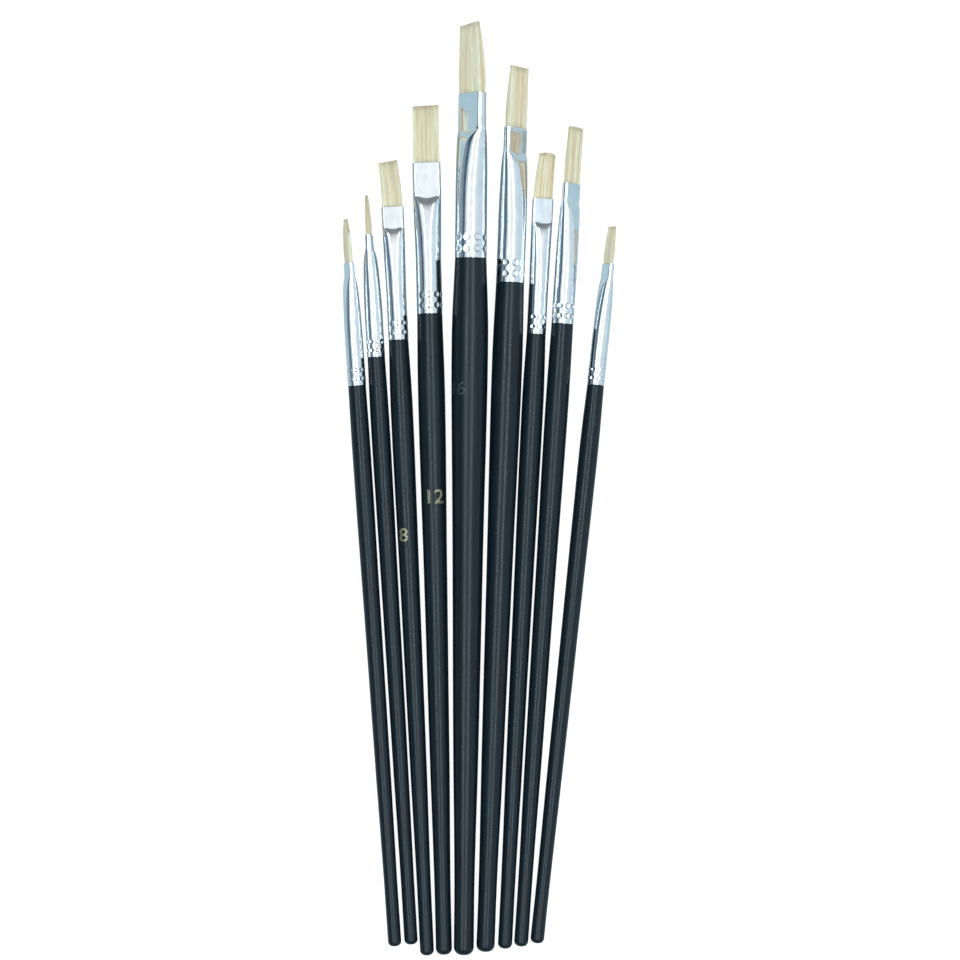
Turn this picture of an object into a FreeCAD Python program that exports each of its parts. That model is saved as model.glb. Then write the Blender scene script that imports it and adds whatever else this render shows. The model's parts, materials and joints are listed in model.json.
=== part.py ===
"""Nine-piece set of flat bristle tint brushes, lying fanned out on a table.

Each brush is a turned and lacquered wooden handle, a drawn aluminium ferrule that is round at the handle
and pressed flat at the mouth, a tuft of hog bristle, and the plug of resin that holds the bristle roots.
The handle's spigot sits inside the ferrule, which is crimped onto it by two rows of dimples.

Row frame: +Y runs from the handle ends towards the bristles, +X to the right, +Z up from the table.
The origin is on the table, in the middle of the set. Units are millimetres and degrees.

A brush is modelled upright in its own frame: z runs up its axis from the end of the handle, x along the
width of the flat ferrule and y through its thickness. lay_down() then places it on the table.
"""

import FreeCAD
import Part

import math
import os
from collections import namedtuple

from FreeCAD import Placement, Rotation, Vector

# Ferrule, the same on every brush
WALL = 0.35  # thickness of the aluminium
FIT_GAP = 0.02  # between the ferrule's inside and what it holds
ROUND_SHARE = 0.36  # length of the round back part, as a share of the ferrule
FLAT_EXPONENT = 5.0  # superellipse exponent of the flat mouth; 2 is a round section
SECTION_POINTS = 32  # points that shape each section
SHOULDER_STATIONS = (0.0, 0.04, 0.08, 0.12, 0.16)  # 0 is at the flat mouth, 1 at the round part
SLOPE_STATIONS = (0.16, 0.37, 0.58, 0.79, 1.0)
PINCH_SHARE = 0.5  # how much of the thickness is gained in the steep shoulder at the pinch
PINCH_REACH = 0.06  # length of that shoulder, as a share of the pressed part
ROUNDING_LEAD = 1.35  # the section is round before it has reached its full thickness

# Crimp: two rows of dimples close to the ferrule's back edge
CRIMP_SHARES = (0.055, 0.125)  # where the rows are, as shares of the ferrule
CRIMP_COUNT = 10
CRIMP_RADIUS_SHARE = 0.17  # dimple radius over the ferrule's radius
CRIMP_DEPTH = 0.18

# Handle
TAIL_STRAIGHT = 14.0  # straight end of the handle, which goes into a stand or a cap
TAIL_ROUNDING = 0.75  # radius of the rounded end over the handle's end radius
BELLY_SHARE = 0.88  # where the handle is thickest, as a share of its length
TAPER = ((0.30, 0.33), (0.60, 0.67))  # (share of the length, share of the rise to the belly)
SHOULDER_STEP = 0.05  # the lacquered shoulder lies this far inside the ferrule's outside
SPIGOT_SHARE = 0.28  # spigot length, as a share of the ferrule
SPIGOT_CHAMFER = 0.5

# Tuft and resin
RESIN_LENGTH = 3.0
ROOT_GAP = 0.2  # between the resin and the free part of the bristle roots
TUFT_SWELL = ((0.3, 1.02, 1.4), (0.7, 1.0, 1.15))  # (share of the length, width, thickness)
TUFT_EXPONENT = 3.2

Brush = namedtuple(
    "Brush",
    "size tail_x tail_y lean roll handle tail_d belly_d butt_d "
    "ferrule flat mouth_w mouth_t tuft tip_w tip_t tip_shift",
)
# One line for each brush, from left to right. lean turns the brush to the left seen from above; roll turns
# it about its own axis, and at 0 its flat side faces up. flat is the length of the ferrule's flat mouth, and
# tip_shift is how far the bristle tip leans aside.
BRUSHES = (
    Brush(2, -26.8, -147.4, 3.86, -70, 181.3, 4.3, 6.0, 5.8, 39.7, 4.0, 6.5, 1.9, 14.2, 4.2, 0.8, -0.3),
    Brush(4, -21.55, -146.8, 3.4, 85, 189.8, 4.3, 6.1, 5.7, 39.4, 3.9, 6.4, 2.0, 12.9, 4.9, 0.7, 0.0),
    Brush(8, -16.4, -150.3, 2.65, 0, 198.7, 4.5, 7.2, 6.4, 43.0, 6.3, 7.2, 2.1, 15.0, 6.4, 0.9, -0.9),
    Brush(12, -10.95, -150.0, 1.27, 0, 206.6, 5.2, 8.75, 8.2, 48.7, 10.3, 9.1, 2.4, 18.5, 8.5, 1.1, 0.1),
    Brush(16, -4.6, -150.0, -0.58, -48, 224.3, 6.45, 11.8, 10.2, 52.9, 10.9, 11.3, 3.5, 22.9, 8.6, 1.4, -1.7),
    Brush(14, 2.35, -149.0, -2.12, 52, 215.7, 5.9, 9.8, 9.1, 49.7, 7.2, 10.2, 2.6, 19.8, 9.0, 1.2, 0.8),
    Brush(6, 8.65, -148.1, -2.92, 12, 198.4, 4.6, 7.0, 6.2, 43.8, 7.2, 6.8, 2.0, 14.8, 5.4, 0.8, 0.8),
    Brush(10, 13.85, -147.4, -3.8, 54, 201.2, 4.55, 7.45, 7.1, 45.2, 5.6, 8.1, 2.3, 18.4, 7.6, 1.1, 0.4),
    Brush(1, 19.0, -146.4, -6.0, -66, 181.1, 4.4, 6.15, 5.5, 39.2, 4.5, 6.2, 1.9, 12.2, 5.0, 0.9, 0.0),
)


def section(half_w, half_t, exponent, z, shift=0.0):
    """Closed wire of a superellipse at height z: round at exponent 2, flat-sided as it grows."""
    power = 2.0 / exponent
    points = []
    for i in range(SECTION_POINTS):
        angle = 2 * math.pi * i / SECTION_POINTS
        c, s = math.cos(angle), math.sin(angle)
        x = half_w * math.copysign(abs(c) ** power, c)
        y = half_t * math.copysign(abs(s) ** power, s)
        points.append(Vector(x + shift, y, z))
    curve = Part.BSplineCurve()
    curve.interpolate(Points=points, PeriodicFlag=True)
    return Part.Wire(curve.toShape())


def prism(wire, length):
    """Straight solid of that section, rising by length (or sinking, if it is negative)."""
    return Part.Face(wire).extrude(Vector(0, 0, length))


def flat_start(brush):
    """Height at which the ferrule's flat mouth begins."""
    return brush.handle + brush.ferrule - brush.flat


def press_section(brush, station, inset):
    """Ferrule section where it is being pressed flat: station 0 at the flat mouth, 1 where it is round."""
    shoulder = (1 - math.exp(-station / PINCH_REACH)) / (1 - math.exp(-1 / PINCH_REACH))
    slope = 1 - (1 - station) ** 2
    rise = PINCH_SHARE * shoulder + (1 - PINCH_SHARE) * slope
    radius = brush.butt_d / 2
    half_w = brush.mouth_w / 2 + (radius - brush.mouth_w / 2) * station
    half_t = brush.mouth_t / 2 + (radius - brush.mouth_t / 2) * rise
    exponent = FLAT_EXPONENT + (2 - FLAT_EXPONENT) * min(1.0, ROUNDING_LEAD * rise)
    flat_z = flat_start(brush)
    round_z = brush.handle + brush.ferrule * ROUND_SHARE
    return section(half_w - inset, half_t - inset, exponent, flat_z + (round_z - flat_z) * station)


def ferrule_form(brush, inset, past_ends):
    """Solid of the ferrule's outside (inset 0) or of the space in it, run past its ends by past_ends."""
    shoulder = [press_section(brush, s, inset) for s in SHOULDER_STATIONS]
    slope = [press_section(brush, s, inset) for s in SLOPE_STATIONS]
    pressed = [Part.makeLoft(wires[::-1], True, False) for wires in (shoulder, slope)]
    mouth = prism(shoulder[0], brush.flat + past_ends)
    back = prism(slope[-1], -brush.ferrule * ROUND_SHARE - past_ends)
    return back.fuse([*pressed, mouth])


def crimp_dimples(brush):
    """The balls that two rows of round punches sink into the ferrule."""
    outside = brush.butt_d / 2
    ball = outside * CRIMP_RADIUS_SHARE + CRIMP_DEPTH
    balls = []
    for share in CRIMP_SHARES:
        z = brush.handle + brush.ferrule * share
        for i in range(CRIMP_COUNT):
            angle = 2 * math.pi * (i + 0.5) / CRIMP_COUNT
            reach = outside + ball - CRIMP_DEPTH
            centre = Vector(reach * math.cos(angle), reach * math.sin(angle), z)
            balls.append(Part.makeSphere(ball, centre))
    return Part.makeCompound(balls)


def make_ferrule(brush):
    """Thin tube, open at both ends, with the crimp dimples in its outside."""
    tube = ferrule_form(brush, 0, 0).cut(ferrule_form(brush, WALL, 1.0))
    return tube.cut(crimp_dimples(brush))


def side_points(brush):
    """Points of the handle's side from the end of its straight tail to its shoulder, as (radius, z)."""
    tail, belly = brush.tail_d / 2, brush.belly_d / 2
    points = [(tail, TAIL_STRAIGHT)]
    points += [(tail + (belly - tail) * rise, brush.handle * at) for at, rise in TAPER]
    points += [(belly, brush.handle * BELLY_SHARE)]
    points += [(brush.butt_d / 2 - SHOULDER_STEP, brush.handle)]
    return points


def side_curve(brush):
    """Smooth taper of the handle, from its straight tail over the belly to the shoulder."""
    curve = Part.BSplineCurve()
    curve.interpolate(Points=[Vector(r, 0, z) for r, z in side_points(brush)])
    return curve


def make_handle(brush):
    """Turned handle: rounded end, straight tail, long taper, belly, shoulder and spigot."""
    tail = brush.tail_d / 2
    rounding = tail * TAIL_ROUNDING
    corner = rounding * math.sqrt(0.5)
    spigot = brush.butt_d / 2 - WALL - FIT_GAP
    spigot_top = brush.handle + brush.ferrule * SPIGOT_SHARE
    shoulder = brush.butt_d / 2 - SHOULDER_STEP
    flat = tail - rounding
    arc = Part.Arc(
        Vector(flat, 0, 0),
        Vector(flat + corner, 0, rounding - corner),
        Vector(tail, 0, rounding),
    )
    edges = [
        Part.makeLine(Vector(0, 0, 0), Vector(flat, 0, 0)),
        arc.toShape(),
        Part.makeLine(Vector(tail, 0, rounding), Vector(tail, 0, TAIL_STRAIGHT)),
        side_curve(brush).toShape(),
    ]
    inner = [
        Vector(shoulder, 0, brush.handle),
        Vector(spigot, 0, brush.handle),
        Vector(spigot, 0, spigot_top - SPIGOT_CHAMFER),
        Vector(spigot - SPIGOT_CHAMFER, 0, spigot_top),
        Vector(0, 0, spigot_top),
        Vector(0, 0, 0),
    ]
    edges += [Part.makeLine(a, b) for a, b in zip(inner, inner[1:])]
    return Part.Face(Part.Wire(edges)).revolve(Vector(0, 0, 0), Vector(0, 0, 1), 360)


def make_resin_plug(brush):
    """Cured resin that fills the ferrule just behind the bristle roots."""
    space = ferrule_form(brush, WALL + FIT_GAP, 0)
    low = Vector(-brush.mouth_w, -brush.mouth_w, flat_start(brush) - RESIN_LENGTH)
    slab = Part.makeBox(2 * brush.mouth_w, 2 * brush.mouth_w, RESIN_LENGTH, low)
    return space.common(slab)


def make_tuft(brush):
    """Bristle bundle: its roots fill the flat mouth, and the free part tapers to a chisel edge."""
    inset = WALL + FIT_GAP
    half_w, half_t = brush.mouth_w / 2 - inset, brush.mouth_t / 2 - inset
    root_z = flat_start(brush) + ROOT_GAP
    mouth_z = brush.handle + brush.ferrule
    root = prism(section(half_w, half_t, FLAT_EXPONENT, root_z), mouth_z - root_z)
    sections = [section(half_w, half_t, FLAT_EXPONENT, mouth_z)]
    for at, width, thickness in TUFT_SWELL:
        w = half_w + (brush.tip_w / 2 - half_w) * at * at
        t = half_t + (brush.tip_t / 2 - half_t) * at * at
        shift = brush.tip_shift * at * at
        sections.append(section(w * width, t * thickness, TUFT_EXPONENT, mouth_z + brush.tuft * at, shift))
    tip_z = mouth_z + brush.tuft
    sections.append(section(brush.tip_w / 2, brush.tip_t / 2, TUFT_EXPONENT, tip_z, brush.tip_shift))
    return root.fuse(Part.makeLoft(sections, True, False))


def resting_pose(brush):
    """(tilt in degrees, height of the handle's end) with which the handle lies on the table.

    The handle touches the table near its end and near its belly. Both supports are level at one tilt,
    which is found by halving.
    """
    curve = side_curve(brush)
    first, last = curve.FirstParameter, curve.LastParameter
    side = [curve.value(first + (last - first) * i / 400) for i in range(401)]
    tail = Vector(brush.tail_d / 2, 0, brush.tail_d / 2 * TAIL_ROUNDING)
    back = [tail] + [p for p in side if p.z < brush.handle / 2]
    front = [p for p in side if p.z >= brush.handle / 2]

    def support(points, tilt):
        return max(p.x * math.cos(tilt) - p.z * math.sin(tilt) for p in points)

    low, high = 0.0, math.radians(5)
    for _ in range(50):
        tilt = (low + high) / 2
        if support(front, tilt) > support(back, tilt):
            low = tilt
        else:
            high = tilt
    return math.degrees(tilt), support(back, tilt)


def lay_down(brush):
    """Placement that takes the upright brush to its place on the table."""
    tilt, height = resting_pose(brush)
    turn = Rotation(Vector(0, 0, 1), brush.lean)
    fall = Rotation(Vector(1, 0, 0), tilt - 90)
    roll = Rotation(Vector(0, 0, 1), brush.roll)
    return Placement(Vector(brush.tail_x, brush.tail_y, height), turn * fall * roll)


PIECES = {
    "handle": make_handle,
    "ferrule": make_ferrule,
    "resin_plug": make_resin_plug,
    "tuft": make_tuft,
}


def brush_name(brush):
    return f"brush_{brush.size:02d}"


def build():
    """{node name: solid} in the row frame, and the shift that centred the set on its bounding box."""
    solids = {}
    for brush in BRUSHES:
        place = lay_down(brush).toMatrix()
        for piece, make in PIECES.items():
            solids[f"{brush_name(brush)}_{piece}"] = make(brush).transformed(place)
    box = Part.makeCompound(list(solids.values())).optimalBoundingBox(True, False)
    shift = Vector(-box.Center.x, -box.Center.y, -box.ZMin)
    for solid in solids.values():
        solid.translate(shift)
    return solids, shift


def main():
    os.makedirs("parts", exist_ok=True)
    solids, shift = build()
    for name, solid in solids.items():
        assert solid.isValid() and solid.Volume > 0 and len(solid.Solids) == 1, name
        solid.exportStep(f"parts/{name}.step")
    print("shift of the set to its middle:", tuple(round(v, 3) for v in shift))


if __name__ == "__main__":
    main()
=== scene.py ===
"""Looks of the nine-piece set of flat bristle tint brushes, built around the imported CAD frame.

Every brush is modelled upright in its own frame, in millimetres: z runs up its axis from the end of the
handle, x along the width of the flat ferrule and y through its thickness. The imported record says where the
brush lies, and its pieces are put there in metres.
"""

import json
import math
from collections import namedtuple

import bmesh
import bpy
import numpy as np
from mathutils import Matrix, Vector


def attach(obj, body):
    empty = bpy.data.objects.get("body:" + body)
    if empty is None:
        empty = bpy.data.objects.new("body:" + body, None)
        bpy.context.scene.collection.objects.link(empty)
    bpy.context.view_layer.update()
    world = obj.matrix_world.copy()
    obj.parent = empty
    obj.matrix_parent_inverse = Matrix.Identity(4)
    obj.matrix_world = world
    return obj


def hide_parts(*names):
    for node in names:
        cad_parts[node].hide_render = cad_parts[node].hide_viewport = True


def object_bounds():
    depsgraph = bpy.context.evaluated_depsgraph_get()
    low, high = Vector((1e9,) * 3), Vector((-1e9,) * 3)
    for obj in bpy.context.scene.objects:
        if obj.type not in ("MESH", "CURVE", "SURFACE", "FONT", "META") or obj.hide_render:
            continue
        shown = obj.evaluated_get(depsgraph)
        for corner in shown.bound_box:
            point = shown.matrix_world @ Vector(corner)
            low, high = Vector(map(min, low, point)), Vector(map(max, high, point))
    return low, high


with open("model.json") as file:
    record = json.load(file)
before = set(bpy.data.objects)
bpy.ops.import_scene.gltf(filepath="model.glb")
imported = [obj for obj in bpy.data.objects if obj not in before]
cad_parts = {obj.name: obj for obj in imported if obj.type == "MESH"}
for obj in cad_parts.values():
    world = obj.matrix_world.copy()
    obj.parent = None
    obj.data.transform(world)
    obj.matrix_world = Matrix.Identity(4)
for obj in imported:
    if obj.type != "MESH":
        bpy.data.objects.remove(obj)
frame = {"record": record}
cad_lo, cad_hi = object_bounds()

MM = 0.001
TAU = 2 * math.pi

# Sizes shared by all brushes, as in the CAD source
WALL = 0.35
ROUND_SHARE = 0.36
PINCH_SHARE = 0.5
PINCH_REACH = 0.06
CRIMP_SHARES = (0.055, 0.125)
CRIMP_COUNT = 10
CRIMP_RADIUS_SHARE = 0.17
CRIMP_DEPTH = 0.18
TAIL_STRAIGHT = 14.0
TAIL_ROUNDING = 0.75
BELLY_SHARE = 0.88
TAPER = ((0.30, 0.33), (0.60, 0.67))
SHOULDER_STEP = 0.05
SPIGOT_SHARE = 0.28

Brush = namedtuple(
    "Brush",
    "size roll handle tail_d belly_d butt_d ferrule flat mouth_w mouth_t tuft tip_w tip_t tip_shift",
)
BRUSHES = (
    Brush(2, -70, 181.3, 4.3, 6.0, 5.8, 39.7, 4.0, 6.5, 1.9, 14.2, 4.2, 0.8, -0.3),
    Brush(4, 85, 189.8, 4.3, 6.1, 5.7, 39.4, 3.9, 6.4, 2.0, 12.9, 4.9, 0.7, 0.0),
    Brush(8, 0, 198.7, 4.5, 7.2, 6.4, 43.0, 6.3, 7.2, 2.1, 15.0, 6.4, 0.9, -0.9),
    Brush(12, 0, 206.6, 5.2, 8.75, 8.2, 48.7, 10.3, 9.1, 2.4, 18.5, 8.5, 1.1, 0.1),
    Brush(16, -48, 224.3, 6.45, 11.8, 10.2, 52.9, 10.9, 11.3, 3.5, 22.9, 8.6, 1.4, -1.7),
    Brush(14, 52, 215.7, 5.9, 9.8, 9.1, 49.7, 7.2, 10.2, 2.6, 19.8, 9.0, 1.2, 0.8),
    Brush(6, 12, 198.4, 4.6, 7.0, 6.2, 43.8, 7.2, 6.8, 2.0, 14.8, 5.4, 0.8, 0.8),
    Brush(10, 54, 201.2, 4.55, 7.45, 7.1, 45.2, 5.6, 8.1, 2.3, 18.4, 7.6, 1.1, 0.4),
    Brush(1, -66, 181.1, 4.4, 6.15, 5.5, 39.2, 4.5, 6.2, 1.9, 12.2, 5.0, 0.9, 0.0),
)


def name_of(brush):
    return f"brush_{brush.size:02d}"


MOUNTS = {m["name"]: m for m in frame["record"]["mounts"]}


def placement(brush):
    """Matrix from the upright brush's millimetres to its place in the row frame, in metres."""
    mount = MOUNTS[f"tail_{brush.size:02d}"]
    up = -Vector(mount["axis"]).normalized()
    middle = (brush.tail_d / 2 * TAIL_ROUNDING + TAIL_STRAIGHT) / 2
    end = Vector(mount["pos_m"]) - up * (middle * MM)
    level = up.cross(Vector((0, 0, 1))).normalized()
    rest = Matrix((level, up.cross(level), up)).transposed()
    turn = rest @ Matrix.Rotation(math.radians(brush.roll), 3, "Z")
    return Matrix.Translation(end) @ (turn * MM).to_4x4()


def smooth(t):
    t = np.clip(t, 0.0, 1.0)
    return t * t * (3 - 2 * t)


# ---------------------------------------------------------------- meshes


def grid_mesh(name, rings, closed_rings=False):
    """Mesh of rings of equally many points: quads between rings, each ring closed on itself.

    The ends are capped, unless the last ring joins the first one.
    """
    rings = np.asarray(rings, float)
    count, around = rings.shape[:2]
    vertices = rings.reshape(-1, 3)
    faces = []
    last = count if closed_rings else count - 1
    for i in range(last):
        a, b = i * around, (i + 1) % count * around
        for k in range(around):
            n = (k + 1) % around
            faces.append((a + k, a + n, b + n, b + k))
    if not closed_rings:
        faces.append(tuple(reversed(range(around))))
        faces.append(tuple((count - 1) * around + k for k in range(around)))
    mesh = bpy.data.meshes.new(name)
    mesh.from_pydata([tuple(v) for v in vertices], [], faces)
    return mesh


def add_piece(name, mesh, brush, material, replaces=None):
    """Places a mesh made in the brush's own millimetres, and lets it ride on the brush's body."""
    mesh.transform(placement(brush))
    mesh.update()
    for polygon in mesh.polygons:
        polygon.use_smooth = True
    mesh.materials.append(material)
    piece = bpy.data.objects.new(name, mesh)
    bpy.context.scene.collection.objects.link(piece)
    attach(piece, name_of(brush))
    if replaces:
        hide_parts(replaces)


# ---------------------------------------------------------------- ferrule

FERRULE_AROUND = 160
FACET_POINTS = 22  # on each flat side, of the points around
CREASE = 0.16  # half length over which the pinch bends, in mm
CREASE_SAG = 0.16  # of the mouth's width, from the crease's ends to its middle
STRIP_SHARE = 0.2  # of the flat side's width, left as a narrow strip below the pinch
FACET_REACH = 0.8  # the strip fades over this share of the pressed part
FACET_FALL = 0.8  # power by which the flat side narrows as the shoulder rises
CORNER_SHARE = 0.7  # of half the mouth's thickness, the round corner beside the flat side
RIM_ROUND = 0.09
INSIDE_RINGS = 24
COARSE_STEP = 0.4  # between rings, in mm
CRIMP_STEP = 0.14
PINCH_STEP = 0.12
PINCH_ZONE = (-4.5, 1.5)  # heights about the pinch with close rings
DIMPLE_REACH = 1.45  # of the punch's radius
DIMPLE_DEEPEN = 1.35
LIP_PLACE, LIP_WIDTH, LIP_RISE = 1.12, 0.2, 0.14
RESIN_LENGTH = 3.0
RESIN_GAP = 0.05
RESIN_RINGS = 16


def ferrule_section(brush, z, inset):
    """Points around the ferrule at height z above its back edge, inset from the outside."""
    flat_z = brush.ferrule - brush.flat
    pressed = flat_z - brush.ferrule * ROUND_SHARE
    soft = CREASE / pressed
    radius = brush.butt_d / 2

    def state(drop):
        """Station down the pressed part, and how far its shoulder has risen."""
        # the pinch is a tight bend, not a sharp line
        station = np.minimum(1.0, soft * np.logaddexp(0.0, (flat_z - drop - z) / pressed / soft))
        shoulder = (1 - np.exp(-station / PINCH_REACH)) / (1 - math.exp(-1 / PINCH_REACH))
        return station, shoulder

    station, shoulder = state(0.0)
    half_w = brush.mouth_w / 2 + (radius - brush.mouth_w / 2) * station - inset
    corner = brush.mouth_t / 2 * CORNER_SHARE
    strip = STRIP_SHARE * (1 - smooth(station / FACET_REACH))
    facet = (brush.mouth_w / 2 - corner) * ((1 - STRIP_SHARE) * (1 - shoulder) ** FACET_FALL + strip)
    side = max(half_w - facet, 0.05)
    quarter = (FERRULE_AROUND - 2 * FACET_POINTS) // 2
    across = facet * (1 - 2 * (np.arange(FACET_POINTS) + 0.5) / FACET_POINTS)
    angle = math.pi / 2 + math.pi * (np.arange(quarter) + 0.5) / quarter
    x = np.concatenate([across, -facet + side * np.cos(angle)])
    y = np.concatenate([np.ones(FACET_POINTS), np.sin(angle)])
    # the crease is curved: the flat reaches further down in the middle
    drop = brush.mouth_w * CREASE_SAG * np.clip(1 - (x / half_w) ** 2, 0, 1)
    station, shoulder = state(drop)
    rise = PINCH_SHARE * shoulder + (1 - PINCH_SHARE) * (1 - (1 - station) ** 2)
    y = y * (brush.mouth_t / 2 + (radius - brush.mouth_t / 2) * rise - inset)
    half = np.stack([x, y, np.full_like(x, z)], axis=1)
    return np.concatenate([half, half * (-1, -1, 1)])


def dimple(points, brush):
    """Sinks the two rows of crimp dimples into the outside."""
    radius = brush.butt_d / 2
    reach = radius * CRIMP_RADIUS_SHARE * DIMPLE_REACH
    angle = np.arctan2(points[:, 1], points[:, 0])
    normal = np.stack([np.cos(angle), np.sin(angle), np.zeros(len(angle))], axis=1)
    depth = np.zeros(len(points))
    for share in CRIMP_SHARES:
        dz = points[:, 2] - brush.ferrule * share
        for i in range(CRIMP_COUNT):
            centre = TAU * (i + 0.5) / CRIMP_COUNT
            da = (angle - centre + math.pi) % TAU - math.pi
            distance = np.hypot(da * radius, dz) / reach
            bowl = np.clip(1 - distance**2, 0, 1) ** 0.8
            lip = np.exp(-(((distance - LIP_PLACE) / LIP_WIDTH) ** 2)) * -LIP_RISE
            depth += (bowl + lip) * CRIMP_DEPTH * DIMPLE_DEEPEN
    return points - normal * depth[:, None]


def ferrule_heights(brush):
    """Heights of the rings: close together at the crimp and at the pinch."""
    crimp_end = brush.ferrule * (CRIMP_SHARES[-1] + 0.06)
    pinch = brush.ferrule - brush.flat
    heights = [RIM_ROUND]
    while heights[-1] < brush.ferrule - RIM_ROUND:
        z = heights[-1]
        step = CRIMP_STEP if z < crimp_end else COARSE_STEP
        if PINCH_ZONE[0] < z - pinch < PINCH_ZONE[1]:
            step = PINCH_STEP
        heights.append(z + step)
    heights[-1] = brush.ferrule - RIM_ROUND
    return heights


def make_ferrule(brush, rng):
    heights = ferrule_heights(brush)
    phases = rng.uniform(0, TAU, 6)
    rings = []

    def wavy(points):
        """The thin metal isn't quite true: its wall wanders by a few hundredths of a millimetre."""
        angle = np.arctan2(points[:, 1], points[:, 0])
        z = points[:, 2]
        wander = 0.012 * np.sin(2 * angle + z * 0.23 + phases[0])
        wander += 0.008 * np.sin(3 * angle - z * 0.41 + phases[1])
        wander += 0.006 * np.sin(angle + z * 0.9 + phases[2])
        out = points.copy()
        norm = np.maximum(np.hypot(points[:, 0], points[:, 1]), 0.2)
        out[:, 0] += points[:, 0] / norm * wander
        out[:, 1] += points[:, 1] / norm * wander
        return out

    half = RIM_ROUND
    rings.append(ferrule_section(brush, 0.0, half))
    rings.append(ferrule_section(brush, half * 0.3, half * 0.3))
    for z in heights:
        rings.append(dimple(wavy(ferrule_section(brush, z, 0.0)), brush))
    top = brush.ferrule
    rings.append(ferrule_section(brush, top - half * 0.3, half * 0.3))
    rings.append(ferrule_section(brush, top, half))
    rings.append(ferrule_section(brush, top, WALL - half))
    rings.append(ferrule_section(brush, top - half, WALL))
    for z in np.linspace(top - 2 * half, 2 * half, INSIDE_RINGS):
        rings.append(ferrule_section(brush, z, WALL))
    rings.append(ferrule_section(brush, half, WALL))
    rings.append(ferrule_section(brush, 0.0, WALL - half))
    rings = np.array(rings)
    rings[:, :, 2] += brush.handle
    name = name_of(brush)
    mesh = grid_mesh(f"{name}_ferrule_skin", rings, closed_rings=True)
    add_piece(f"{name}_ferrule_skin", mesh, brush, MATERIALS["ferrule"], f"{name}_ferrule")


def make_resin_plug(brush):
    """Cured resin that fills the ferrule behind the bristle roots, close to the pressed wall."""
    top = brush.ferrule - brush.flat
    rings = []
    for z in np.linspace(top - RESIN_LENGTH, top, RESIN_RINGS):
        rings.append(ferrule_section(brush, z, WALL + RESIN_GAP))
    rings = np.array(rings)
    rings[:, :, 2] += brush.handle
    name = name_of(brush)
    mesh = grid_mesh(f"{name}_resin_skin", rings)
    add_piece(f"{name}_resin_skin", mesh, brush, MATERIALS["resin"], f"{name}_resin_plug")


# ---------------------------------------------------------------- handle

HANDLE_AROUND = 72
END_RINGS = 12
ROOT_SLOPE = 1.35  # how much steeper the taper gets at the shoulder
LACQUER_WAVE = 0.007
LACQUER_SINK = 1.2  # keeps the crests of the waves about level with the CAD's handle
SPIGOT_CHAMFER = 0.5


def side_radius(brush, z):
    """Handle radius at height z, by the CAD source's points."""
    tail, belly = brush.tail_d / 2, brush.belly_d / 2
    knots = [(0.0, tail), (TAIL_STRAIGHT, tail)]
    knots += [(brush.handle * at, tail + (belly - tail) * rise) for at, rise in TAPER]
    knots += [(brush.handle * BELLY_SHARE, belly)]
    knots += [(brush.handle, brush.butt_d / 2 - SHOULDER_STEP)]
    xs = np.array([k[0] for k in knots])
    ys = np.array([k[1] for k in knots])
    # slopes of a monotone curve, so that the taper has no ripple
    d = np.diff(ys) / np.diff(xs)
    m = np.zeros(len(xs))
    for i in range(1, len(xs) - 1):
        if d[i - 1] * d[i] > 0:
            m[i] = 2 * d[i - 1] * d[i] / (d[i - 1] + d[i])
    m[-1] = d[-1] * ROOT_SLOPE
    i = int(np.clip(np.searchsorted(xs, z) - 1, 0, len(d) - 1))
    h = xs[i + 1] - xs[i]
    t = (z - xs[i]) / h
    return (
        (2 * t**3 - 3 * t**2 + 1) * ys[i]
        + (t**3 - 2 * t**2 + t) * h * m[i]
        + (-2 * t**3 + 3 * t**2) * ys[i + 1]
        + (t**3 - t**2) * h * m[i + 1]
    )


def make_handle(brush, rng):
    tail = brush.tail_d / 2
    rounding = tail * TAIL_ROUNDING
    profile = []
    for k in range(1, END_RINGS + 1):
        angle = math.pi / 2 * k / END_RINGS
        profile.append((tail - rounding + rounding * math.sin(angle), rounding * (1 - math.cos(angle))))
    profile.insert(0, ((tail - rounding) * 0.5, 0.0))
    z = rounding
    while z < brush.handle - 1.5:
        z += 1.0
        profile.append((side_radius(brush, z), z))
    top = brush.handle
    shoulder = brush.butt_d / 2 - SHOULDER_STEP
    profile.append((side_radius(brush, top - 0.35), top - 0.35))
    profile.append((shoulder - 0.01, top - 0.06))
    profile.append((shoulder - 0.05, top))
    spigot = brush.butt_d / 2 - WALL - 0.02
    spigot_top = top + brush.ferrule * SPIGOT_SHARE
    profile.append((spigot, top))
    profile.append((spigot, spigot_top - SPIGOT_CHAMFER))
    profile.append((spigot - SPIGOT_CHAMFER, spigot_top))
    phases = rng.uniform(0, TAU, 8)
    angles = TAU * np.arange(HANDLE_AROUND) / HANDLE_AROUND
    rings = []
    for radius, z in profile:
        fade = smooth((z - rounding) / 4.0) * smooth((top - z) / 3.0)
        wave = np.sin(angles + z * 0.11 + phases[0]) + 0.6 * np.sin(2 * angles - z * 0.29 + phases[1])
        wave += 0.5 * np.sin(3 * angles + z * 0.63 + phases[2])
        wave += 0.4 * np.sin(5 * angles - z * 1.07 + phases[3])
        r = radius + (wave - LACQUER_SINK) * LACQUER_WAVE * fade
        rings.append(np.stack([r * np.cos(angles), r * np.sin(angles), np.full_like(r, z)], axis=1))
    name = name_of(brush)
    mesh = grid_mesh(f"{name}_handle_skin", rings)
    add_piece(f"{name}_handle_skin", mesh, brush, MATERIALS["lacquer"], f"{name}_handle")


# ---------------------------------------------------------------- tuft

Cut = namedtuple("Cut", "slant left right ragged")
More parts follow.
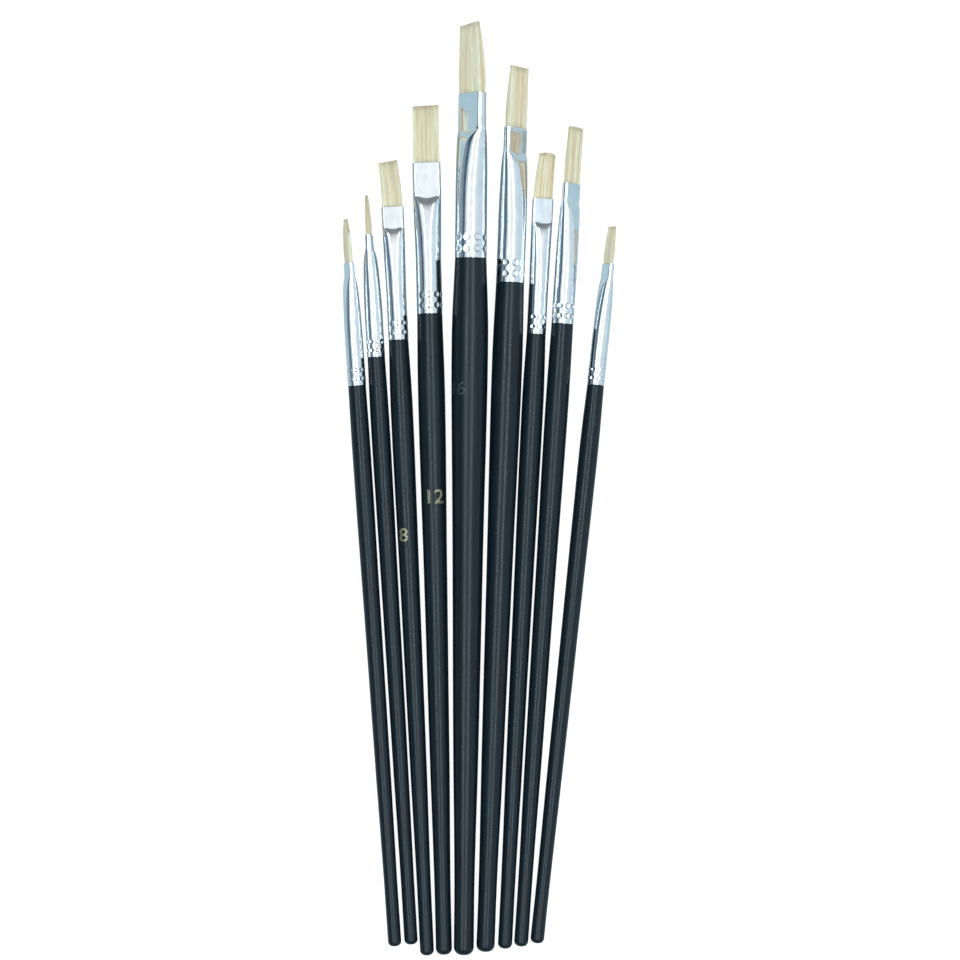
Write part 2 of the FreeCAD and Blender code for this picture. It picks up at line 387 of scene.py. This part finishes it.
# How each tuft's tip is cut and worn: slant lowers its -x side, left and right round its corners, and
# ragged is how far the lengths of its bristles vary, all as shares of its length.
CUTS = {
    2: Cut(0.0, 0.32, 0.30, 0.04),
    4: Cut(0.0, 0.12, 0.12, 0.04),
    8: Cut(0.03, 0.0, 0.0, 0.008),
    12: Cut(0.012, 0.0, 0.0, 0.006),
    16: Cut(0.02, 0.0, 0.0, 0.01),
    14: Cut(-0.003, 0.0, 0.0, 0.008),
    6: Cut(0.0, 0.02, 0.05, 0.012),
    10: Cut(0.0, 0.01, 0.01, 0.015),
    1: Cut(0.0, 0.02, 0.02, 0.015),
}
STRAND_SIDES = 4
STRAND_RINGS = 9
STRAND_ROOT = 0.9  # depth of a strand's start inside the mouth, in mm
CORNER_POWER = 5  # roundness of the flat tuft's corners
PACKING = 0.62  # share of the section that the inner strands fill
SHELL_PACKING = 0.9
CLUMP_PULL = 0.07
STRAY_BEND = 0.045
BEND_LIMIT = 0.13
STRAND_TAPER = 0.25
CORE_AROUND = 40
BRISTLE = 0.07  # radius of a bristle at its root
SWELL = ((0.0, 1.0, 1.0), (0.08, 1.02, 1.2), (0.3, 1.02, 1.4), (0.7, 1.0, 1.15), (1.0, 1.0, 1.0))


def tuft_half(brush, t):
    """Half width, half thickness and sideways shift of the tuft at share t of its free length."""
    base_w = brush.mouth_w / 2 - WALL - 0.02
    base_t = brush.mouth_t / 2 - WALL - 0.02
    w = base_w + (brush.tip_w / 2 - base_w) * t * t
    h = base_t + (brush.tip_t / 2 - base_t) * t * t
    ts = [s[0] for s in SWELL]
    w *= np.interp(t, ts, [s[1] for s in SWELL])
    h *= np.interp(t, ts, [s[2] for s in SWELL])
    return w, h, brush.tip_shift * t * t


def tip_height(brush, u):
    """Share of the tuft's length that its bristles reach at u, from -1 to 1 across its width."""
    cut = CUTS[brush.size]
    height = 1 + cut.slant * u - abs(cut.slant)
    height = height - cut.left * smooth((-u - 0.35) / 0.65) ** 1.5
    return height - cut.right * smooth((u - 0.35) / 0.65) ** 1.5


def strand_points(brush, u, v, reach, sway):
    """Centre line of a bristle at (u, v), each from -1 to 1, as an array of ring centres."""
    start = -STRAND_ROOT / brush.tuft
    ts = start + (reach - start) * np.linspace(0, 1, STRAND_RINGS) ** 0.9
    bend_x, bend_y, phase, curl = sway
    out = np.zeros((STRAND_RINGS, 3))
    for i, t in enumerate(ts):
        share = max(t, 0.0)
        w, h, shift = tuft_half(brush, min(share, 1.0))
        loose = share**1.6
        out[i] = (
            u * (w - BRISTLE * 0.8) + shift + bend_x * loose + curl * math.sin(phase + 5 * share) * share,
            v * max(h - BRISTLE * 0.8, 0.05) + bend_y * loose,
            t * brush.tuft,
        )
    return out


def make_tuft(brush, rng):
    base_w, base_t, _ = tuft_half(brush, 0.0)
    area = 4 * base_w * base_t
    inner = int(area / (math.pi * BRISTLE**2) * PACKING)
    shell = int((4 * base_w + 2 * base_t) * 2 / (2 * BRISTLE) * SHELL_PACKING)
    seeds = []
    for _ in range(inner):
        seeds.append((rng.uniform(-1, 1), rng.uniform(-1, 1)))
    for _ in range(shell):
        depth = 1 - abs(rng.normal(0, 0.05))
        if rng.uniform() < base_w / (base_w + base_t):
            seeds.append((rng.uniform(-1, 1), depth * rng.choice((-1, 1))))
        else:
            seeds.append((depth * rng.choice((-1, 1)), rng.uniform(-1, 1)))
    cut = CUTS[brush.size]
    clumps = rng.uniform(-1, 1, (int(10 + brush.mouth_w * 3), 2))
    vertices, faces, tones = [], [], []
    for u, v in seeds:
        # the corners of a flat tuft are rounded
        corner = (abs(u) ** CORNER_POWER + abs(v) ** CORNER_POWER) ** (1 / CORNER_POWER)
        if corner > 1:
            u, v = u / corner, v / corner
        gap = clumps - (u, v)
        near = clumps[np.argmin((gap[:, 0] * base_w) ** 2 + (gap[:, 1] * base_t) ** 2)]
        bend = np.array([near[0] - u, near[1] - v]) * (base_w, base_t)
        bend = bend * CLUMP_PULL + rng.normal(0, STRAY_BEND, 2)
        bend = np.clip(bend, -BEND_LIMIT, BEND_LIMIT)
        reach = tip_height(brush, u) - abs(rng.normal(0, cut.ragged)) * 0.6
        sway = (bend[0], bend[1] * 0.5, rng.uniform(0, TAU), rng.normal(0, 0.035))
        line = strand_points(brush, u, v, reach, sway)
        radius = BRISTLE * rng.uniform(0.75, 1.15)
        first = len(vertices)
        turn = rng.uniform(0, TAU)
        tone = rng.uniform()
        for i in range(STRAND_RINGS):
            share = i / (STRAND_RINGS - 1)
            r = radius * (1 - STRAND_TAPER * share**2)
            if i == STRAND_RINGS - 1:
                r *= 0.7
            for k in range(STRAND_SIDES):
                a = turn + TAU * k / STRAND_SIDES
                vertices.append((line[i][0] + r * math.cos(a), line[i][1] + r * math.sin(a), line[i][2]))
                tones.append(tone)
        for i in range(STRAND_RINGS - 1):
            for k in range(STRAND_SIDES):
                n = (k + 1) % STRAND_SIDES
                a, b = first + i * STRAND_SIDES, first + (i + 1) * STRAND_SIDES
                faces.append((a + k, a + n, b + n, b + k))
        end = first + (STRAND_RINGS - 1) * STRAND_SIDES
        faces.append(tuple(end + k for k in range(STRAND_SIDES)))
        faces.append(tuple(first + k for k in reversed(range(STRAND_SIDES))))
    name = name_of(brush)
    mesh = bpy.data.meshes.new(f"{name}_bristles")
    mesh.from_pydata(vertices, [], faces)
    tone_layer = mesh.attributes.new("tone", "FLOAT", "POINT")
    tone_layer.data.foreach_set("value", np.array(tones, np.float32))
    mesh.transform(Matrix.Translation((0, 0, brush.handle + brush.ferrule)))
    add_piece(f"{name}_bristles", mesh, brush, MATERIALS["bristle"], f"{name}_tuft")
    make_tuft_core(brush)


def make_tuft_core(brush):
    """Dense middle of the bundle, just under its outer bristles, with its root in the ferrule."""
    top = min(tip_height(brush, u) for u in np.linspace(-0.85, 0.85, 9)) - 0.025
    heights = [-brush.flat / brush.tuft + 0.02]
    heights += list(np.linspace(0.0, top, 10))
    rings = []
    for t in heights:
        w, h, shift = tuft_half(brush, max(t, 0.0))
        w, h = w - 0.1 - 0.16 * max(t, 0), max(h - 0.1 - 0.05 * max(t, 0), 0.06)
        ring = []
        for k in range(CORE_AROUND):
            a = TAU * k / CORE_AROUND
            c, s = math.cos(a), math.sin(a)
            ring.append(
                (
                    shift + w * math.copysign(abs(c) ** 0.4, c),
                    h * math.copysign(abs(s) ** 0.4, s),
                    brush.handle + brush.ferrule + t * brush.tuft,
                )
            )
        rings.append(ring)
    name = name_of(brush)
    mesh = grid_mesh(f"{name}_tuft_core", rings)
    add_piece(f"{name}_tuft_core", mesh, brush, MATERIALS["bristle"])


# ---------------------------------------------------------------- size numbers

Number = namedtuple("Number", "down turn height")
# How far each number lies down from the handle's shoulder, its turn about the axis from straight up
# (seen from above, positive to the right), and the height of its digits.
NUMBERS = {
    2: Number(52.0, 150.0, 3.9),
    4: Number(55.0, -160.0, 3.9),
    8: Number(63.0, -24.0, 4.4),
    12: Number(59.0, 2.0, 4.6),
    16: Number(42.0, -45.0, 4.3),
    14: Number(45.0, 165.0, 4.5),
    6: Number(57.0, 140.0, 4.0),
    10: Number(55.0, -150.0, 4.2),
    1: Number(50.0, 170.0, 3.9),
}
WORN_NUMBERS = (16,)  # sizes whose foil is nearly rubbed off
FONT_SIZE = 1.37  # font size over the height of a digit
FOIL = 0.025  # thickness, in mm
FOIL_LIFT = 0.004  # of its underside off the lacquer
FOIL_EDGE = 0.3  # longest edge, so that the foil bends round the handle
DIGIT_BOLD = 0.022  # of a digit's height, by which its outline is grown
DIGIT_WIDTH = 1.2  # sideways stretch of the digits
DIGIT_SPACING = 0.95


def digit_outline(brush, height):
    """Flat mesh of the number, in millimetres, centred on the origin."""
    curve = bpy.data.curves.new("digits", "FONT")
    curve.body = str(brush.size)
    curve.size = height * FONT_SIZE
    curve.align_x = "CENTER"
    curve.align_y = "CENTER"
    curve.resolution_u = 8
    curve.space_character = DIGIT_SPACING
    curve.offset = height * DIGIT_BOLD
    text = bpy.data.objects.new("digits", curve)
    bpy.context.scene.collection.objects.link(text)
    bpy.context.view_layer.update()
    mesh = bpy.data.meshes.new_from_object(text)
    bpy.data.objects.remove(text)
    return mesh


def make_number(brush):
    """Thin foil digits wrapped round the handle."""
    number = NUMBERS[brush.size]
    mesh = digit_outline(brush, number.height)
    bm = bmesh.new()
    bm.from_mesh(mesh)
    bmesh.ops.remove_doubles(bm, verts=bm.verts, dist=0.001)
    bmesh.ops.triangulate(bm, faces=bm.faces)
    for _ in range(5):
        long_edges = [e for e in bm.edges if e.calc_length() > FOIL_EDGE]
        if not long_edges:
            break
        bmesh.ops.subdivide_edges(bm, edges=long_edges, cuts=1)
        bmesh.ops.triangulate(bm, faces=[f for f in bm.faces if len(f.verts) > 3])
    centre_z = brush.handle - number.down
    # with no roll, a brush's -y side faces up
    up_angle = -math.pi / 2 - math.radians(brush.roll) + math.radians(number.turn)

    def wrapped(x, y, lift):
        r = side_radius(brush, centre_z + y) + lift
        a = up_angle + x / side_radius(brush, centre_z)
        return Vector((r * math.cos(a), r * math.sin(a), centre_z + y))

    bmesh.ops.solidify(bm, geom=bm.faces[:], thickness=-FOIL)
    for v in bm.verts:
        v.co = wrapped(v.co.x * DIGIT_WIDTH, v.co.y, FOIL_LIFT + max(0.0, v.co.z))
    bmesh.ops.recalc_face_normals(bm, faces=bm.faces)
    bm.to_mesh(mesh)
    bm.free()
    mesh.materials.clear()
    material = MATERIALS["foil_worn" if brush.size in WORN_NUMBERS else "foil"]
    add_piece(f"{name_of(brush)}_number", mesh, brush, material)


# ---------------------------------------------------------------- materials


class Nodes:
    """Short way to build a node tree."""

    def __init__(self, name):
        self.material = bpy.data.materials.new(name)
        self.material.use_nodes = True
        self.tree = self.material.node_tree
        self.shader = self.tree.nodes["Principled BSDF"]

    def add(self, kind, inputs=None, **settings):
        node = self.tree.nodes.new(kind)
        for key, value in settings.items():
            setattr(node, key, value)
        for key, value in (inputs or {}).items():
            self.put(node, key, value)
        return node

    def put(self, node, key, value):
        if isinstance(value, bpy.types.NodeSocket):
            self.tree.links.new(value, node.inputs[key])
        else:
            node.inputs[key].default_value = value

    def position(self, scale):
        """Object coordinates in metres, stretched by scale."""
        coords = self.add("ShaderNodeTexCoord")
        mapping = self.add("ShaderNodeMapping", {"Vector": coords.outputs["Object"], "Scale": scale})
        return mapping.outputs["Vector"]

    def noise(self, vector, scale, detail=3.0, roughness=0.5):
        node = self.add(
            "ShaderNodeTexNoise",
            {"Vector": vector, "Scale": scale, "Detail": detail, "Roughness": roughness},
        )
        return node.outputs["Fac"]

    def ramp(self, factor, stops):
        node = self.add("ShaderNodeValToRGB", {"Fac": factor})
        while len(node.color_ramp.elements) < len(stops):
            node.color_ramp.elements.new(0.5)
        for element, (at, colour) in zip(node.color_ramp.elements, stops):
            element.position = at
            element.color = (*colour, 1)
        return node.outputs["Color"]

    def span(self, factor, low, high, to_low, to_high):
        node = self.add(
            "ShaderNodeMapRange",
            {"Value": factor, "From Min": low, "From Max": high, "To Min": to_low, "To Max": to_high},
        )
        return node.outputs["Result"]

    def bump(self, height, strength, distance, normal=None):
        inputs = {"Height": height, "Strength": strength, "Distance": distance}
        if normal is not None:
            inputs["Normal"] = normal
        return self.add("ShaderNodeBump", inputs).outputs["Normal"]

    def mix(self, factor, a, b):
        node = self.add("ShaderNodeMix", data_type="RGBA")
        self.put(node, 0, factor)
        self.put(node, 6, a if isinstance(a, bpy.types.NodeSocket) else (*a, 1))
        self.put(node, 7, b if isinstance(b, bpy.types.NodeSocket) else (*b, 1))
        return node.outputs[2]

    def finish(self, **sockets):
        names = {"base": "Base Color", "rough": "Roughness", "metal": "Metallic", "normal": "Normal"}
        for key, value in sockets.items():
            if not isinstance(value, bpy.types.NodeSocket) and isinstance(value, tuple):
                value = (*value, 1)
            self.put(self.shader, names.get(key, key), value)
        return self.material


def lacquer_material():
    n = Nodes("lacquer")
    along = n.position((1.0, 0.03, 1.0))
    grain = n.noise(along, 2600.0, 4.0, 0.6)
    cloudy = n.noise(n.position((1, 0.25, 1)), 160.0, 3.0)
    # Black lacquer with grain streaks and cloudy patches; the blue tint of these dark colours is painted
    # reflection of the pale blue surroundings.
    grain_streak_and_blue_sheen = n.ramp(
        grain,
        ((0.35, (0.0028, 0.0066, 0.0100)), (0.6, (0.0055, 0.0115, 0.0165)), (0.8, (0.012, 0.021, 0.028))),
    )
    base = n.mix(n.span(cloudy, 0.35, 0.65, 0.0, 0.5), grain_streak_and_blue_sheen, (0.006, 0.012, 0.017))
    specks = n.noise(n.position((1, 0.6, 1)), 900.0, 2.0)
    chip = n.span(specks, 0.80, 0.83, 0.0, 1.0)
    base = n.mix(chip, base, (0.12, 0.15, 0.17))
    fine = n.noise(n.position((1, 0.12, 1)), 1500.0, 3.0)
    rough = n.span(cloudy, 0.3, 0.7, 0.24, 0.36)
    normal = n.bump(fine, 0.25, 0.00004)
    normal = n.bump(grain, 0.18, 0.00003, normal)
    return n.finish(base=base, rough=rough, normal=normal, **{"Specular IOR Level": 0.3})


def ferrule_material():
    n = Nodes("polished_aluminium")
    drawn = n.noise(n.position((1.0, 0.02, 1.0)), 5200.0, 3.0, 0.6)
    soft = n.noise(n.position((1, 1, 1)), 240.0, 2.0)
    smudge = n.noise(n.position((1, 0.5, 1)), 420.0, 4.0, 0.65)
    base = n.ramp(smudge, ((0.3, (0.80, 0.83, 0.86)), (0.7, (0.93, 0.945, 0.955))))
    rough = n.span(smudge, 0.35, 0.75, 0.07, 0.17)
    normal = n.bump(soft, 0.35, 0.00006)
    normal = n.bump(drawn, 0.08, 0.00001, normal)
    return n.finish(base=base, rough=rough, metal=1.0, normal=normal)


def bristle_material():
    n = Nodes("hog_bristle")
    tone = n.add("ShaderNodeAttribute", attribute_name="tone", attribute_type="GEOMETRY").outputs["Fac"]
    colour = n.ramp(
        tone,
        (
            (0.0, (0.62, 0.41, 0.20)),
            (0.12, (0.76, 0.58, 0.34)),
            (0.45, (0.86, 0.75, 0.53)),
            (0.9, (0.95, 0.89, 0.71)),
        ),
    )
    patches = n.noise(n.position((1, 0.1, 1)), 1900.0, 3.0)
    colour = n.mix(n.span(patches, 0.45, 0.7, 0.0, 0.5), colour, (0.80, 0.58, 0.33))
    fibre = n.noise(n.position((1, 0.06, 1)), 6000.0, 2.0)
    normal = n.bump(fibre, 0.3, 0.00002)
    rough = n.span(patches, 0.3, 0.7, 0.42, 0.6)
    return n.finish(base=colour, rough=rough, normal=normal)


def resin_material():
    n = Nodes("cured_resin")
    cloud = n.noise(n.position((1, 1, 1)), 500.0, 3.0)
    base = n.ramp(cloud, ((0.3, (0.42, 0.26, 0.09)), (0.7, (0.62, 0.44, 0.20))))
    return n.finish(base=base, rough=n.span(cloud, 0.3, 0.7, 0.15, 0.35), normal=n.bump(cloud, 0.2, 0.0001))


def foil_material(name, bright, dull, worn):
    n = Nodes(name)
    wear = n.noise(n.position((1, 0.7, 1)), 1900.0, 4.0, 0.65)
    base = n.mix(n.span(wear, worn - 0.05, worn + 0.05, 1.0, 0.0), bright, dull)
    return n.finish(
        base=base,
        metal=n.span(wear, worn - 0.05, worn + 0.05, 0.0, 0.75),
        rough=n.span(wear, 0.3, 0.7, 0.35, 0.5),
        normal=n.bump(wear, 0.2, 0.00003),
    )


MATERIALS = {
    "lacquer": lacquer_material(),
    "ferrule": ferrule_material(),
    "bristle": bristle_material(),
    "resin": resin_material(),
    "foil": foil_material("number_foil", (0.33, 0.28, 0.17), (0.03, 0.035, 0.035), 0.43),
    "foil_worn": foil_material("number_foil_worn", (0.07, 0.085, 0.09), (0.012, 0.02, 0.026), 0.5),
}


def build_brushes():
    for brush in BRUSHES:
        rng = np.random.default_rng(1000 + brush.size)
        make_handle(brush, rng)
        make_ferrule(brush, rng)
        make_tuft(brush, rng)
        make_number(brush)
        make_resin_plug(brush)


# ---------------------------------------------------------------- studio


FLOOR_GAP = 0.0002  # keeps the table off the brushes' undersides


def make_floor():
    """Plain white table with a faint contact shadow. In polished metal it shows as pale grey-blue."""
    material = bpy.data.materials.new("table")
    material.use_nodes = True
    tree = material.node_tree
    tree.nodes.clear()
    output = tree.nodes.new("ShaderNodeOutputMaterial")
    glow = tree.nodes.new("ShaderNodeEmission")
    glow.inputs["Color"].default_value = (1, 1, 1, 1)
    glow.inputs["Strength"].default_value = 0.93
    matt = tree.nodes.new("ShaderNodeBsdfDiffuse")
    matt.inputs["Color"].default_value = (0.25, 0.25, 0.25, 1)
    both = tree.nodes.new("ShaderNodeAddShader")
    mirrored = tree.nodes.new("ShaderNodeBsdfDiffuse")
    mirrored.inputs["Color"].default_value = (0.46, 0.52, 0.53, 1)
    path = tree.nodes.new("ShaderNodeLightPath")
    choose = tree.nodes.new("ShaderNodeMixShader")
    tree.links.new(glow.outputs[0], both.inputs[0])
    tree.links.new(matt.outputs[0], both.inputs[1])
    tree.links.new(path.outputs["Is Glossy Ray"], choose.inputs[0])
    tree.links.new(both.outputs[0], choose.inputs[1])
    tree.links.new(mirrored.outputs[0], choose.inputs[2])
    tree.links.new(choose.outputs[0], output.inputs[0])
    half = 3.0
    z = cad_lo.z - FLOOR_GAP
    mesh = bpy.data.meshes.new("table_top")
    corners = [(-half, -half, z), (half, -half, z), (half, half, z), (-half, half, z)]
    mesh.from_pydata(corners, [], [(0, 1, 2, 3)])
    mesh.materials.append(material)
    floor = bpy.data.objects.new("table_top", mesh)
    bpy.context.scene.collection.objects.link(floor)


def strip_light(name, angle, width, length, power):
    """Long soft box above the set, turned by angle from straight up (positive to the right)."""
    distance = 1.1
    lamp = bpy.data.lights.new(name, "AREA")
    lamp.shape = "RECTANGLE"
    lamp.size = width
    lamp.size_y = length
    lamp.energy = power
    lamp.color = (0.66, 0.88, 1.0)
    light = bpy.data.objects.new(name, lamp)
    tilt = math.radians(angle)
    light.location = (distance * math.sin(tilt), 0.0, distance * math.cos(tilt))
    light.rotation_euler = (0.0, tilt, 0.0)
    bpy.context.scene.collection.objects.link(light)


def make_world():
    """Pale studio: light overhead, a dark stretch on the left, pale blue elsewhere, darker at the ends."""
    world = bpy.data.worlds.new("studio")
    bpy.context.scene.world = world
    world.use_nodes = True
    tree = world.node_tree
    background = tree.nodes["Background"]
    coords = tree.nodes.new("ShaderNodeTexCoord")
    split = tree.nodes.new("ShaderNodeSeparateXYZ")
    tree.links.new(coords.outputs["Generated"], split.inputs[0])
    ramp = tree.nodes.new("ShaderNodeValToRGB")
    shift = tree.nodes.new("ShaderNodeMath")
    shift.operation = "MULTIPLY_ADD"
    shift.inputs[1].default_value = 0.5
    shift.inputs[2].default_value = 0.5
    tree.links.new(split.outputs["X"], shift.inputs[0])
    tree.links.new(shift.outputs[0], ramp.inputs["Fac"])
    stops = (
        (0.00, (0.30, 0.36, 0.41)),
        (0.045, (0.20, 0.27, 0.33)),
        (0.075, (0.06, 0.11, 0.16)),
        (0.13, (0.07, 0.12, 0.17)),
        (0.17, (0.62, 0.74, 0.82)),
        (0.36, (0.80, 0.90, 0.95)),
        (0.50, (0.98, 1.04, 1.06)),
        (0.64, (0.84, 0.93, 0.98)),
        (0.93, (0.62, 0.75, 0.84)),
    )
    elements = ramp.color_ramp.elements
    while len(elements) < len(stops):
        elements.new(0.5)
    for element, (at, colour) in zip(elements, stops):
        element.position = at
        element.color = (*colour, 1)
    tree.links.new(ramp.outputs["Color"], background.inputs["Color"])
    # and darker towards the ends of the set
    ends = tree.nodes.new("ShaderNodeMath")
    ends.operation = "ABSOLUTE"
    tree.links.new(split.outputs["Y"], ends.inputs[0])
    fall = tree.nodes.new("ShaderNodeMapRange")
    fall.inputs["From Min"].default_value = 0.25
    fall.inputs["From Max"].default_value = 0.75
    fall.inputs["To Min"].default_value = 1.0
    fall.inputs["To Max"].default_value = 0.25
    tree.links.new(ends.outputs[0], fall.inputs["Value"])
    tree.links.new(fall.outputs["Result"], background.inputs["Strength"])
    # what the camera sees past the table is plain and pale
    plain = tree.nodes.new("ShaderNodeBackground")
    plain.inputs["Color"].default_value = (0.9, 0.92, 0.94, 1)
    path = tree.nodes.new("ShaderNodeLightPath")
    choose = tree.nodes.new("ShaderNodeMixShader")
    output = tree.nodes["World Output"]
    tree.links.new(path.outputs["Is Camera Ray"], choose.inputs[0])
    tree.links.new(background.outputs[0], choose.inputs[1])
    tree.links.new(plain.outputs[0], choose.inputs[2])
    tree.links.new(choose.outputs[0], output.inputs[0])


VIEW_WIDTH = 0.3093  # at the height of the brushes, in metres
VIEW_HEIGHT = 0.004  # of the plane it is measured in
VIEW_SHIFT = (0.00022, 0.00315)  # of the camera from the middle of the set


def make_camera():
    camera = bpy.data.cameras.new("camera")
    camera.lens = 100
    camera.sensor_width = 36
    camera.clip_end = 20
    eye = bpy.data.objects.new("camera", camera)
    height = VIEW_WIDTH * camera.lens / camera.sensor_width
    middle = (cad_lo + cad_hi) / 2
    eye.location = (middle.x + VIEW_SHIFT[0], middle.y + VIEW_SHIFT[1], VIEW_HEIGHT + height)
    bpy.context.scene.collection.objects.link(eye)
    bpy.context.scene.camera = eye


build_brushes()
make_floor()
make_world()
strip_light("strip_left", -21.0, 0.05, 1.6, 6.0)
strip_light("strip_right", 17.0, 0.05, 1.6, 6.0)
make_camera()
scene = bpy.context.scene
scene.view_settings.view_transform = "Standard"
